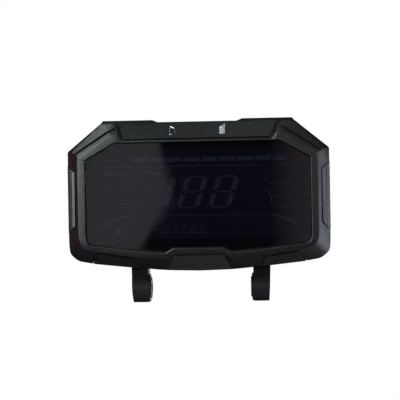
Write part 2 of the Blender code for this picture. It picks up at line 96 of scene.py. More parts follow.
# how far each corner's rounding starts from it
CORNER_CUTS = [0.0, 0.8, 0.8, 1.5, 2.4, 2.4, 2.4, 2.4, 0.8, 0.8, 0.8, 0.8, 0.6, 0.0]
CORNER_STEPS = 4
# the break line in the band, as a share of the way from the ring to the rim, or at a place of its own where
# a top corner stands proud as a plate with a steep edge
BREAK_SHARE = 0.5
BREAK_SHARE_TOP = 0.85
BREAK_CORNER = {9: (75.9, 27.3, 3.1), 10: (58.4, 43.6, 5.2), 11: (50.3, 43.6, 3.9)}

KEY_OUTLINE = [(39.8, -37.8), (35.8, -48.0), (70.4, -48.0), (60.2, -34.6)]
KEY_HOLE_GROW = 0.6
KEY_HOLE_BACK = 13.0
KEY_PUSH_X = 50.5       # where the key's foot meets its switch
# the key's layers in the bezel's skin: growth beyond its outline, depths, outer and inner sink
KEY_LAYERS = {
    "cap": (-0.6, (AHEAD, 11.6), 0.0, 1.9),
    "step": (0.35, (AHEAD, 11.8), 1.0, 3.4),
    "lip": (0.35, (RIM_DEPTH - 0.6, 11.8), 0.3, 2.0),
    "liner": (1.0, (AHEAD, 12.4), 3.0, 4.3),
}
# and the posts that carry its push inward: half width, z range, depths
KEY_POSTS = {
    "neck": (2.5, (-39.6, -37.2), (5.6, 11.0)),
    "foot": (3.0, (-38.8, -34.8), (10.3, 11.7)),
}
SIDE_PAD_OUTLINE = [(74.6, -17.2), (82.0, -24.0), (82.0, 21.2), (75.0, 14.8)]
# the pad's section as (x, depth): a land, a step and an outer strip
PAD_PROFILE = [
    (74.9, 3.2), (76.75, 3.8), (76.95, 5.4), (77.4, 5.9), (77.8, 6.7), (78.1, 6.5), (80.15, 9.6),
    (80.15, 12.9), (78.9, 12.9), (78.0, 9.0), (74.9, 5.3),
]
PAD_BACK = 14.0
PAD_ENDS = (-28.0, 26.0)        # z places beyond the pad's outline
PAD_GAP = 0.5
PAD_GAP_END = 78.6              # beyond this x the gap is nearly closed, and doesn't notch the outline
PAD_END_GAP = 0.1
PAD_HOLE_BACK = 13.3
PAD_HOLE_SINK = 1.3
BADGE_GAP = 0.3
BADGE_BACK = 9.8
BADGE_HOLE_SINK = 0.7
BADGE_SINK = -0.45
BADGE_ROOT = 0.5                # how far below the outer form it reaches
BADGE_RIM = 0.6
BADGE_RECESS = (-2.0, -0.15)    # the sinks that the recess inside the rim lies between
BADGE_OUTLINE = [(13.4, 36.6), (17.1, 36.8), (17.1, 43.2), (13.4, 41.2)]
SHOULDER = [(22.0, 43.6), (57.0, 43.6), (59.0, 44.9), (57.6, 46.3), (27.4, 46.3), (23.9, 44.9)]
TOP_PANEL_HALF = [(44.1, 34.6), (44.9, 37.0), (48.9, 45.0), (51.0, 50.0)]
LOW_PANEL_HALF = [(0.0, -50.0), (21.6, -50.0), (15.1, -36.5), (0.0, -36.5)]
CORNER_PANEL = [
    (48.9, 39.2), (52.7, 39.3), (73.5, 25.8), (75.0, 25.6), (75.8, 27.6), (58.6, 43.7), (51.4, 44.2),
]
PANEL_GAP = 0.45
PANEL_GAP_SINK = 0.8
CORNER_INNER = [(38.0, 48.8), (81.5, 20.6)]     # the corner plate's inner edge, made longer
CORNER_LEAN = (1.9, 3.0)                        # how far its chamfer leans outward at the front
CORNER_FOOT = 2.2                               # the depth where the chamfer ends
CORNER_FAR = [(90.0, 60.0), (30.0, 60.0)]       # outside the body, to close the guide


def at(x, depth, z):
    """World place of a point given on the body's centre line."""
    return Vector((x, FRONT_Y + depth, CENTRE_Z + z)) * MM


def mirrored(right_half):
    """Closed outline from its right half, which runs from the bottom to the top."""
    left_half = [(-x, z) for x, z in reversed(right_half) if x > 0.0]
    return right_half + left_half


def flipped(outline):
    return [(-x, z) for x, z in reversed(outline)]


def on_side(side, outline):
    return outline if side == "right" else flipped(outline)


def offset(outline, distance):
    """The outline moved outward by distance, or inward when it is negative; a third value is kept."""
    moved = []
    for i, point in enumerate(outline):
        here = Vector(point[:2])
        before = here - Vector(outline[i - 1][:2])
        after = Vector(outline[(i + 1) % len(outline)][:2]) - here
        before.normalize()
        after.normalize()
        push = Vector((before.y + after.y, -before.x - after.x))
        push *= distance / (1.0 + before.dot(after))
        moved.append((point[0] + push.x, point[1] + push.y, *point[2:]))
    return moved


def softened(outline, cuts):
    """The outline with its corners rounded; cuts says how far from each corner the rounding starts."""
    if isinstance(cuts, float):
        cuts = [cuts] * len(outline)
    made = []
    for i, point in enumerate(outline):
        here = Vector(point)
        if cuts[i] == 0.0:
            made.append(here)
            continue
        before = Vector(outline[i - 1]) - here
        after = Vector(outline[(i + 1) % len(outline)]) - here
        start = here + before * min(cuts[i] / before.length, 0.45)
        end = here + after * min(cuts[i] / after.length, 0.45)
        for k in range(CORNER_STEPS + 1):
            t = k / CORNER_STEPS
            made.append(start * (1 - t) ** 2 + here * 2 * t * (1 - t) + end * t * t)
    return made


OPENING = mirrored(OPENING_HALF)
RING = mirrored(RING_HALF)
RIM = mirrored(RIM_HALF)
CUTS = CORNER_CUTS + CORNER_CUTS[-2:0:-1]


def break_line():
    """The band's break line as (x, z, depth) points, all the way round."""
    half = []
    for i, (ring, rim) in enumerate(zip(RING_HALF, RIM_HALF)):
        share = BREAK_SHARE if i < 9 else BREAK_SHARE_TOP
        straight = [a + (b - a) * share for a, b in zip((*ring, 0.0), (*rim, RIM_DEPTH))]
        half.append(BREAK_CORNER.get(i, tuple(straight)))
    return half + [(-x, z, depth) for x, z, depth in reversed(half) if x > 0.0]


BREAK = break_line()


def section(outline, depth, grow=0.0):
    """One loft section in the bezel's own outline, rounded, at a depth."""
    flat = [(x, z, depth) for x, z in offset(outline, grow)]
    return softened(flat, CUTS)


def lowered_break(sink):
    shift = BREAK_LINE_SHARE * sink
    return [(x, z, depth + shift) for x, z, depth in offset(BREAK, -shift)]


def with_depth(outline, depth):
    return [(x, z, depth) for x, z in outline]


# ---------------------------------------------------------------- mesh helpers
FLAT_ANGLE = 1.0        # degrees: faces that lean less than this from each other are one face
SHARP_ANGLE = 28.0      # edges sharper than this are rounded
SMOOTH_ANGLE = 30.0     # and those sharper than this stay sharp in the shading
MERGE_DISTANCE = 0.12   # millimetres, less than any rounding


def new_piece(name, bm):
    bmesh.ops.recalc_face_normals(bm, faces=bm.faces)
    mesh = bpy.data.meshes.new(name)
    bm.to_mesh(mesh)
    bm.free()
    piece = bpy.data.objects.new(name, mesh)
    bpy.context.scene.collection.objects.link(piece)
    return piece


def add_ring(bm, points):
    return [bm.verts.new(at(x, depth, z)) for x, z, depth in points]


def bridge(bm, front, back):
    count = len(front)
    for i in range(count):
        j = (i + 1) % count
        bm.faces.new((front[i], front[j], back[j], back[i]))


def loft(name, sections, closed=False):
    """A solid through sections of (x, z, depth) points; closed joins the last section to the first."""
    bm = bmesh.new()
    rings = [add_ring(bm, points) for points in sections]
    for front, back in zip(rings, rings[1:]):
        bridge(bm, front, back)
    if closed:
        bridge(bm, rings[-1], rings[0])
    else:
        bm.faces.new(rings[0])
        bm.faces.new(rings[-1])
    bmesh.ops.triangulate(bm, faces=[f for f in bm.faces if len(f.verts) == 4])
    return new_piece(name, bm)


def prism(name, outline, depths, soften=0.0):
    """A straight solid along the depth, with its outline's corners rounded."""
    flat = softened(outline, soften) if soften else outline
    return loft(name, [with_depth(flat, depths[0]), with_depth(flat, depths[1])])


def box_outline(x0, x1, z0, z1):
    return [(x0, z0), (x1, z0), (x1, z1), (x0, z1)]


def circle(x, z, radius, sides=32):
    turns = [2 * math.pi * (i + 0.5) / sides for i in range(sides)]
    return [(x + radius * math.cos(t), z + radius * math.sin(t)) for t in turns]


def baked(piece):
    """Replaces the piece's mesh by what its modifiers make of it."""
    bpy.context.view_layer.update()
    graph = bpy.context.evaluated_depsgraph_get()
    mesh = bpy.data.meshes.new_from_object(piece.evaluated_get(graph))
    piece.modifiers.clear()
    piece.data = mesh
    return piece


def combine(target, operation, *others, keep=False):
    for other in others:
        modifier = target.modifiers.new(other.name, "BOOLEAN")
        modifier.operation = operation
        modifier.solver = "MANIFOLD"
        modifier.object = other
    baked(target)
    if not keep:
        for other in others:
            bpy.data.objects.remove(other, do_unlink=True)
    return target


def cut(target, *cutters):
    return combine(target, "DIFFERENCE", *cutters)


def join(target, *others):
    return combine(target, "UNION", *others)


SHELLS = {}


def shell(sink):
    """The bezel's outer form as a solid guide, sunk by sink millimetres."""
    if sink not in SHELLS:
        inward = max(sink, 0.0)
        sections = [
            with_depth(RING, sink * RING_SHARE),
            lowered_break(sink),
            with_depth(offset(RIM, -inward), RIM_DEPTH + sink * RIM_SHARE),
            with_depth(offset(RIM, -0.6 - inward), SKIRT_DEPTH + 1.0),
        ]
        SHELLS[sink] = loft(f"guide_shell_{len(SHELLS)}", sections)
    return SHELLS[sink]


def skin(name, outline, depths, outer_sink, inner_sink):
    """The part of the bezel's skin inside an outline, between two sinks."""
    piece = prism(name, outline, depths)
    combine(piece, "INTERSECT", shell(outer_sink), keep=True)
    return combine(piece, "DIFFERENCE", shell(inner_sink), keep=True)


def rounded(piece, width, segments=2):
    """Rounds the piece's sharp edges by a Bevel modifier and bakes it."""
    clean = bmesh.new()
    clean.from_mesh(piece.data)
    bmesh.ops.remove_doubles(clean, verts=clean.verts, dist=MERGE_DISTANCE * MM)
    bmesh.ops.dissolve_limit(
        clean, angle_limit=math.radians(FLAT_ANGLE), verts=clean.verts, edges=clean.edges,
        delimit={"NORMAL"},
    )
    clean.to_mesh(piece.data)
    clean.free()
    bevel = piece.modifiers.new("edges", "BEVEL")
    bevel.width = width * MM
    bevel.segments = segments
    bevel.limit_method = "ANGLE"
    bevel.angle_limit = math.radians(SHARP_ANGLE)
    bevel.miter_outer = "MITER_ARC"
    bevel.use_clamp_overlap = True
    return baked(piece)


def place(piece, material, body="housing", replaces=()):
    """Gives a finished piece its shading, material and body, and hides the CAD nodes it stands for."""
    piece.data.materials.clear()
    piece.data.materials.append(material)
    piece.data.shade_smooth()
    piece.data.set_sharp_from_angle(angle=math.radians(SMOOTH_ANGLE))
    normals = piece.modifiers.new("normals", "WEIGHTED_NORMAL")
    normals.keep_sharp = True
    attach(piece, body)
    if replaces:
        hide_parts(*replaces)
    return piece


# ---------------------------------------------------------------- materials
def new_material(name):
    material = bpy.data.materials.new(name)
    material.use_nodes = True
    tree = material.node_tree
    shader = tree.nodes["Principled BSDF"]
    return material, tree, shader


def add_node(tree, kind, inputs=None, **settings):
    node = tree.nodes.new(kind)
    for key, value in settings.items():
        setattr(node, key, value)
    for key, value in (inputs or {}).items():
        if isinstance(value, bpy.types.NodeSocket):
            tree.links.new(value, node.inputs[key])
        else:
            node.inputs[key].default_value = value
    return node


def noise(tree, size, detail=3.0, stretch=None):
    """Noise whose features are about size millimetres across, in the object's own metres."""
    place_at = add_node(tree, "ShaderNodeTexCoord").outputs["Object"]
    if stretch:
        values = {"Vector": place_at, "Scale": stretch}
        place_at = add_node(tree, "ShaderNodeMapping", values).outputs[0]
    values = {"Vector": place_at, "Scale": 1.0 / (size * MM), "Detail": detail, "Roughness": 0.55}
    return add_node(tree, "ShaderNodeTexNoise", values).outputs["Fac"]


def cells(tree, size):
    """Distance to the nearest cell centre, for leathery or beaded grain."""
    place_at = add_node(tree, "ShaderNodeTexCoord").outputs["Object"]
    values = {"Vector": place_at, "Scale": 1.0 / (size * MM), "Randomness": 1.0}
    return add_node(tree, "ShaderNodeTexVoronoi", values).outputs["Distance"]


def remap(tree, value, low, high, to_low=0.0, to_high=1.0):
    values = {
        "Value": value, "From Min": low, "From Max": high, "To Min": to_low, "To Max": to_high,
    }
    return add_node(tree, "ShaderNodeMapRange", values).outputs[0]


def mix_colour(tree, share, first, second):
    node = add_node(tree, "ShaderNodeMix", data_type="RGBA")
    tree.links.new(share, node.inputs[0])
    for socket, value in ((node.inputs[6], first), (node.inputs[7], second)):
        if isinstance(value, bpy.types.NodeSocket):
            tree.links.new(value, socket)
        else:
            socket.default_value = (*value, 1.0)
    return node.outputs[2]


def edge_mask(tree, radius):
    """1 on edges that are worn and, on the bezel, given a painted highlight, and 0 on flat faces, from how
    far a rounded normal leans from the face's own.
    """
    soft = add_node(tree, "ShaderNodeBevel", {"Radius": radius * MM}, samples=4).outputs[0]
    face = add_node(tree, "ShaderNodeNewGeometry").outputs["Normal"]
    values = {0: soft, 1: face}
    lean = add_node(tree, "ShaderNodeVectorMath", values, operation="DOT_PRODUCT").outputs["Value"]
    return remap(tree, lean, 0.985, 0.82)


# sizes in millimetres of what the noise in a surface makes, and the width of a lightened edge: wear, and on
# the bezel also a painted highlight
PATCH_SIZE = 9.0
EDGE_PATCH_SIZE = 2.2
SPECK_SIZE = 0.7
GLOSS_SIZE = 1.6
WORN_AND_HIGHLIT_EDGE = 0.35
DUST_COLOUR = (0.35, 0.35, 0.34)


def finish(
    name, colour, roughness, metallic=0.0, grain=0.45, grain_depth=0.02, beads=0.0, blotch=0.15,
    wear_and_highlight=0.0, wear_and_highlight_colour=(0.16, 0.17, 0.18), dust=0.0, specular=0.5, edge=0.12, streaks=None,
    coat=0.0,
):
    """A moulded or machined surface: fine grain, uneven colour and gloss, lightened edges and dust. The
    lightened edges are wear, and on the bezel also a painted highlight.

    Sizes are in millimetres. grain is the size of the grain, and beads that of the rounder cells on it.
    streaks stretches the grain along an axis, as brushing or drawing does. edge is the radius that the
    shading gives to sharp edges.
    """
    material, tree, shader = new_material(name)
    patches = noise(tree, PATCH_SIZE, detail=4.0)
    tint = mix_colour(
        tree, patches, [c * (1 - blotch) for c in colour], [min(c * (1 + blotch), 1.0) for c in colour],
    )
    # edges lightened in patches towards the lighter colour: wear, and on the bezel also a painted highlight
    if wear_and_highlight:
        edge_patches = remap(tree, noise(tree, EDGE_PATCH_SIZE, detail=5.0), 0.42, 0.62)
        values = {0: edge_mask(tree, WORN_AND_HIGHLIT_EDGE), 1: edge_patches}
        worn_and_highlit = add_node(tree, "ShaderNodeMath", values, operation="MULTIPLY").outputs[0]
        share = add_node(tree, "ShaderNodeMath", {0: worn_and_highlit, 1: wear_and_highlight}, operation="MULTIPLY").outputs[0]
        tint = mix_colour(tree, share, tint, wear_and_highlight_colour)
    if dust:
        specks = remap(tree, noise(tree, SPECK_SIZE, detail=1.0), 0.72, 0.8, 0.0, dust)
        tint = mix_colour(tree, specks, tint, DUST_COLOUR)
    tree.links.new(tint, shader.inputs["Base Color"])
    smooth, rough = roughness * 0.8, min(roughness * 1.2, 1.0)
    gloss = remap(tree, noise(tree, GLOSS_SIZE, detail=5.0), 0.3, 0.7, smooth, rough)
    tree.links.new(gloss, shader.inputs["Roughness"])
    shader.inputs["Metallic"].default_value = metallic
    shader.inputs["Specular IOR Level"].default_value = specular
    shader.inputs["Coat Weight"].default_value = coat
    height = noise(tree, grain, detail=2.0, stretch=streaks)
    if beads:
        height = add_node(
            tree, "ShaderNodeMath", {0: height, 1: cells(tree, beads)}, operation="ADD",
        ).outputs[0]
    soft = add_node(tree, "ShaderNodeBevel", {"Radius": edge * MM}, samples=4).outputs[0]
    bump = {"Height": height, "Distance": grain_depth * MM, "Strength": 1.0, "Normal": soft}
    relief = add_node(tree, "ShaderNodeBump", bump)
    tree.links.new(relief.outputs[0], shader.inputs["Normal"])
    return material


def smoked_acrylic():
    """The dark lens: half see-through, glossy, with faint smears and dust."""
    material, tree, shader = new_material("smoked_acrylic")
    specks = remap(tree, noise(tree, 0.9, detail=1.0), 0.75, 0.8, 0.0, 0.6)
    tint = mix_colour(tree, specks, (0.003, 0.003, 0.005), (0.2, 0.2, 0.21))
    tree.links.new(tint, shader.inputs["Base Color"])
    smears = remap(tree, noise(tree, 14.0, detail=5.0), 0.35, 0.7, 0.035, 0.09)
    tree.links.new(smears, shader.inputs["Roughness"])
    shader.inputs["Specular IOR Level"].default_value = 1.0
    shader.inputs["Alpha"].default_value = 0.5
    waviness = noise(tree, 30.0, detail=1.0)
    bump = {"Height": waviness, "Distance": 0.02 * MM, "Strength": 0.4}
    relief = add_node(tree, "ShaderNodeBump", bump)
    tree.links.new(relief.outputs[0], shader.inputs["Normal"])
    return material


BLACK = (0.0100, 0.0103, 0.0115)
LOOKS = {
    # its edges are lightened strongly: partly wear, partly a painted highlight along the edges
    "bezel_plastic": finish(
        "bezel_plastic", BLACK, 0.36, grain=1.1, grain_depth=0.09, beads=1.0, wear_and_highlight=0.7, dust=0.25,
    ),
    # painted shade: a darker, duller copy of the bezel plastic for the shoulders, standing in for the shade
    # on them
    "shoulder_plastic_painted_shade": finish(
        "shoulder_plastic_painted_shade", (0.004, 0.004, 0.005), 0.55, grain=0.8, grain_depth=0.05, beads=1.0,
        wear_and_highlight=0.2, specular=0.16,
    ),
    "trim_plastic": finish(
        "trim_plastic", (0.022, 0.022, 0.025), 0.42, grain=0.7, grain_depth=0.06, beads=1.1, wear_and_highlight=0.4,
        dust=0.3, specular=1.0,
    ),
    "key_plastic": finish(
        "key_plastic", (0.015, 0.015, 0.016), 0.42, grain=0.5, grain_depth=0.03, beads=0.9, wear_and_highlight=0.25,
    ),
    "badge_chrome": finish(
        "badge_chrome", (0.84, 0.86, 0.88), 0.12, metallic=1.0, grain=0.9, grain_depth=0.01,
    ),
    "gasket_foam": finish("gasket_foam", (0.02, 0.02, 0.02), 0.9, grain=0.6, grain_depth=0.1),
    "mask_film": finish("mask_film", (0.004, 0.004, 0.005), 0.5, grain_depth=0.005, specular=0.1),
    "lcd_glass": finish(
        "lcd_glass", (0.036, 0.032, 0.090), 0.4, grain=20.0, grain_depth=0.01, blotch=0.3, specular=0.1,
    ),
    "diffuser_film": finish("diffuser_film", (0.8, 0.8, 0.8), 0.6, grain_depth=0.01),
    "guide_acrylic": finish("guide_acrylic", (0.72, 0.78, 0.8), 0.12, beads=1.6, grain_depth=0.02),
    "reflector_film": finish("reflector_film", (0.88, 0.88, 0.88), 0.3, grain_depth=0.01),
    "holder_plastic": finish("holder_plastic", (0.68, 0.68, 0.65), 0.5, grain_depth=0.02),
    "circuit_board": finish(
        "circuit_board", (0.008, 0.085, 0.028), 0.35, grain=0.9, grain_depth=0.02, coat=0.4,
    ),
    "led_package": finish("led_package", (0.8, 0.74, 0.45), 0.4, grain_depth=0.01),
    "zebra_rubber": finish(
        "zebra_rubber", (0.25, 0.25, 0.27), 0.7, grain=0.4, grain_depth=0.03, streaks=(1.0, 0.05, 1.0),
    ),
    "chip_epoxy": finish("chip_epoxy", (0.013, 0.013, 0.014), 0.55, grain=0.2, grain_depth=0.02),
    "component_metal": finish(
        "component_metal", (0.6, 0.6, 0.61), 0.28, metallic=1.0, grain_depth=0.01,
        streaks=(1.0, 0.1, 1.0),
    ),
    "switch_body": finish("switch_body", (0.03, 0.03, 0.03), 0.4, grain_depth=0.01),
    "socket_nylon": finish(
        "socket_nylon", (0.02, 0.02, 0.021), 0.5, grain=0.5, grain_depth=0.03, wear_and_highlight=0.3,
    ),
    "pin_brass": finish("pin_brass", (0.72, 0.5, 0.2), 0.28, metallic=1.0, grain_depth=0.01),
    "seal_rubber": finish("seal_rubber", (0.012, 0.012, 0.012), 0.75, grain=0.8, grain_depth=0.03),
    "case_plastic": finish(
        "case_plastic", (0.017, 0.018, 0.019), 0.58, grain=0.6, grain_depth=0.05, beads=1.0, wear_and_highlight=0.3,
        dust=0.3,
    ),
    "screw_steel": finish(
        "screw_steel", (0.14, 0.14, 0.15), 0.35, metallic=1.0, grain=0.6, grain_depth=0.01, wear_and_highlight=0.7,
        wear_and_highlight_colour=(0.5, 0.5, 0.5),
    ),
    "leg_plastic": finish(
        "leg_plastic", (0.0075, 0.0075, 0.0095), 0.6, grain=0.6, grain_depth=0.04, beads=1.0, wear_and_highlight=0.3,
        dust=0.2, specular=0.3,
    ),
    "bush_rubber": finish("bush_rubber", (0.011, 0.011, 0.011), 0.8, grain=0.5, grain_depth=0.04),
    "spacer_steel": finish(
        "spacer_steel", (0.014, 0.014, 0.016), 0.62, grain=0.4, grain_depth=0.01, wear_and_highlight=0.3,
        wear_and_highlight_colour=(0.12, 0.12, 0.12), specular=0.3, streaks=(0.1, 1.0, 1.0),
    ),
    "vent_plastic": finish("vent_plastic", (0.03, 0.03, 0.03), 0.65, grain_depth=0.03),
    "lens_acrylic": smoked_acrylic(),
}
SEGMENT_LOOK = finish(
    "unlit_segments", (0.16, 0.185, 0.36), 0.4, grain=6.0, grain_depth=0.004, blotch=0.35, edge=0.02,
    specular=0.1,
)


# ---------------------------------------------------------------- camera, lights and stage
CAMERA_DISTANCE = 600.0         # from the rim's plane
FRAME_WIDTH = 244.0             # what the picture spans at the rim's plane
CAMERA_YAW = 2.6
CAMERA_ROLL = 1.0
AIM = (1.0, RIM_DEPTH, -3.05)
LEFT_SIDE = (-0.62, -0.78, 0.34)        # towards the main light
# soft lights: direction from the body, distance and size in metres, power in watts, colour
LIGHTS = {
    "left": (LEFT_SIDE, 0.62, (0.42, 0.45), 1.2, (0.90, 1.0, 1.0)),
    "high_left": ((-0.65, -0.55, 0.95), 0.8, (0.3, 0.3), 2.2, (0.90, 1.0, 1.0)),
    "right": ((0.8, -0.62, 0.3), 0.8, (0.3, 0.4), 2.0, (0.92, 0.92, 1.0)),
    "side": ((1.0, 0.02, -0.3), 0.52, (0.35, 0.4), 1.35, (0.84, 0.91, 1.0)),
    "low": ((0.1, -0.35, -1.0), 0.8, (1.0, 0.4), 0.95, (1.0, 0.98, 1.0)),
    "back": ((0.25, 1.0, -0.3), 0.9, (0.5, 0.4), 3.0, (1.0, 1.0, 1.0)),
}
SURROUND = (0.010, 0.009, 0.012, 1.0)   # the faint light from everywhere else
STAGE_HALF = 3.0                        # metres
FLOOR_Z = -0.2
# the left card's wavy right edge, which shows as the edge of the light patch in the lens
PATCH_EDGE = [(-110, -20), (-86, 21), (-70, 43), (-60, 67), (-67, 89), (-74, 124), (-78, 200)]


def make_camera():
    data = bpy.data.cameras.new("camera")
    data.sensor_width = 36.0
    data.lens = data.sensor_width * CAMERA_DISTANCE / FRAME_WIDTH
    data.clip_start = 0.01
    camera = bpy.data.objects.new("camera", data)
    bpy.context.scene.collection.objects.link(camera)
    yaw = Matrix.Rotation(math.radians(CAMERA_YAW), 4, "Z")
    level = Matrix.Rotation(math.radians(90.0), 4, "X")
    roll = Matrix.Rotation(math.radians(CAMERA_ROLL), 4, "Z")
    target = Matrix.Translation(at(*AIM))
    back = Matrix.Translation((0.0, -CAMERA_DISTANCE * MM, 0.0))
    camera.matrix_world = target @ yaw @ back @ level @ roll.inverted()
    bpy.context.scene.camera = camera


def area_light(name, direction, distance, size, power, colour):
    """A soft light that looks at the body's centre from a direction."""
    data = bpy.data.lights.new(name, "AREA")
    data.shape = "RECTANGLE"
    data.size, data.size_y = size
    data.energy = power
    data.color = colour
    light = bpy.data.objects.new(name, data)
    away = Vector(direction).normalized()
    light.location = at(0.0, RIM_DEPTH, 0.0) + away * distance
    light.rotation_euler = away.to_track_quat("Z", "Y").to_euler()
    light.visible_camera = False
    bpy.context.scene.collection.objects.link(light)


def glow(name, colour, strength, fade=None):
    """An even light, or one that grows along x between the two places in fade, in millimetres."""
    material, tree, shader = new_material(name)
    tree.nodes.remove(shader)
    if fade:
        place_at = add_node(tree, "ShaderNodeTexCoord").outputs["Object"]
        along = add_node(tree, "ShaderNodeSeparateXYZ", {"Vector": place_at}).outputs["X"]
        strength = remap(tree, along, fade[0] * MM, fade[1] * MM, 0.0, strength)
    emission = add_node(tree, "ShaderNodeEmission", {"Color": (*colour, 1.0), "Strength": strength})
    tree.links.new(emission.outputs[0], tree.nodes["Material Output"].inputs[0])
    return material


def stage_sheet(name, corners, material, seen):
    """A flat sheet that belongs to the studio; seen holds the kinds of rays that meet it."""
    bm = bmesh.new()
    bm.faces.new([bm.verts.new(Vector(corner)) for corner in corners])
    sheet = new_piece(name, bm)
    sheet.data.materials.append(material)
    for kind in ("camera", "diffuse", "glossy", "transmission", "shadow"):
        setattr(sheet, f"visible_{kind}", kind in seen)


def card(name, corners, colour, strength, fade=None):
    """A glowing sheet that shows in reflections only."""
    stage_sheet(name, corners, glow(name, colour, strength, fade), ("glossy",))


def make_stage():
    """A white floor and surround, and the cards that the glossy surfaces mirror."""
    white = glow("studio_white", (1.0, 1.0, 1.0), 1.0)
    square = box_outline(-STAGE_HALF, STAGE_HALF, -STAGE_HALF, STAGE_HALF)
    stage_sheet("floor", [(x, y, FLOOR_Z) for x, y in square], white, ("camera",))
    bm = bmesh.new()
    bmesh.ops.create_icosphere(bm, subdivisions=4, radius=STAGE_HALF)
    surround = new_piece("surround", bm)
    surround.data.materials.append(white)
    for kind in ("diffuse", "glossy", "transmission", "shadow"):
        setattr(surround, f"visible_{kind}", False)

    # in the camera's own plane, for the lens
    card_y = FRONT_Y * MM - CAMERA_DISTANCE * MM
    outline = [(-330, -80), (-160, -70)] + PATCH_EDGE + [(-80, 420), (-330, 420)]
    corners = [(x * MM, card_y, z * MM) for x, z in outline]
    card("left_card", corners, (0.92, 0.94, 1.0), 0.48)
    corners = [(x * MM, card_y, z * MM) for x, z in box_outline(58, 330, -60, 300)]
    card("right_card", corners, (1.0, 0.86, 0.9), 0.6, fade=(58.0, 148.0))
    # above, for the badges and the top panel
    corners = [(x * MM, y * MM, 0.55) for x, y in box_outline(-18, 300, -260, 160)]
    card("over_card", corners, (0.88, 0.95, 1.0), 0.5)
    # low on the left, for the steep edges that face it
    corners = [(-0.45 + x, -0.38 + y, -0.42) for x, y in box_outline(-0.15, 0.15, -0.15, 0.15)]
    card("low_card", corners, (0.55, 0.68, 1.0), 3.2)
    # just behind the main light, which it makes brighter in reflections
    facing = Vector(LEFT_SIDE).normalized()
    centre = at(0.0, RIM_DEPTH, 0.0) + facing * 0.63
    turn = facing.to_track_quat("Z", "Y").to_matrix()
    outline = box_outline(-0.21, 0.21, -0.22, 0.22)
    card("left_gloss", [centre + turn @ Vector((x, y, 0.0)) for x, y in outline], (0.88, 1.0, 1.0), 4.6)
    # on the left, for the band and the side wall
    corners = [(-0.5, y * MM, z * MM) for y, z in box_outline(-220, 500, -200, 400)]
    card("side_card", corners, (1.0, 0.3, 0.6), 0.11)


def make_lights():
    for name, values in LIGHTS.items():
        area_light(name, *values)
    world = bpy.data.worlds.new("studio")
    world.use_nodes = True
    world.node_tree.nodes["Background"].inputs["Color"].default_value = SURROUND
    bpy.context.scene.world = world
    bpy.context.scene.view_settings.view_transform = "Standard"


# ---------------------------------------------------------------- bezel
def make_bezel():
    """The front frame: a ring round the lens, the sloped band with its raised plates, and two shoulders."""
    sink = BAND_SINK
    bezel = loft(
        "bezel_frame",
        [
            section(OPENING, LIP_BACK),
            section(OPENING, 0.75),
            section(OPENING, 0.3, 0.15),
            section(OPENING, 0.1, 0.5),
            section(RING, 0.22, -1.0),
            section(RING, 0.58, -0.1),
            section(RING, 1.0, 0.2),
            softened(lowered_break(sink), CUTS),
            section(RIM, RIM_DEPTH - 0.45 + sink, -0.5),
            section(RIM, RIM_DEPTH + 0.5 + sink, -0.05),
            section(RIM, SKIRT_DEPTH - 0.4, -0.65),
            section(RIM, SKIRT_DEPTH, -1.15),
            section(RIM, SKIRT_DEPTH, -3.0),
            section(RIM, RIM_DEPTH + 1.2, -2.8),
            section(RING, LIP_BACK + 0.4),
        ],
        closed=True,
    )
    plates = []
    top = mirrored([(0.0, 34.6)] + TOP_PANEL_HALF + [(0.0, 50.0)])
    low = mirrored(LOW_PANEL_HALF)
    for name, outline, rise in (("top", top, TOP_SINK), ("low", low, LOW_SINK)):
        plates.append(skin(f"{name}_plate", outline, (AHEAD, SKIRT_DEPTH - 0.5), rise, PLATE_ROOT))
    for side, sign in SIDES.items():
        plates.append(make_corner_plate(side, sign))
        shoulder_depths = (RIM_DEPTH - 0.4, SKIRT_DEPTH - 0.2)
        shoulder = prism(f"{side}_shoulder", on_side(side, SHOULDER), shoulder_depths)
        rounded(shoulder, width=0.3)
        # the shoulders take the darker copy of the plastic, which is painted shade
        place(shoulder, LOOKS["shoulder_plastic_painted_shade"])
    for outline in (top, low, on_side("left", CORNER_PANEL), on_side("right", CORNER_PANEL)):
        gap_depths = (AHEAD, RIM_DEPTH - 0.6)
        cut(bezel, skin("gap", offset(outline, PANEL_GAP), gap_depths, ALL_ABOVE, PANEL_GAP_SINK))
    for plate in plates:
        rounded(plate, width=0.2)
    join(bezel, *plates)
    for side in SIDES:
        cut(bezel, *make_pockets(side))
    place(bezel, LOOKS["bezel_plastic"], replaces=["front_bezel"])


def make_corner_plate(side, sign):
    """A top corner's raised plate, with a chamfer along its inner edge."""
    depths = (AHEAD, RIM_DEPTH)
    plate = skin(f"{side}_corner_plate", on_side(side, CORNER_PANEL), depths, CORNER_SINK, PLATE_ROOT)
    leaning = [(x + CORNER_LEAN[0], z + CORNER_LEAN[1]) for x, z in CORNER_INNER]
    chamfer = ((leaning, AHEAD - 1.0), (CORNER_INNER, CORNER_FOOT), (CORNER_INNER, 12.0))
    guide = loft("guide", [
        [(x * sign, z, depth) for x, z in edge + CORNER_FAR] for edge, depth in chamfer
    ])
    return combine(plate, "INTERSECT", guide)


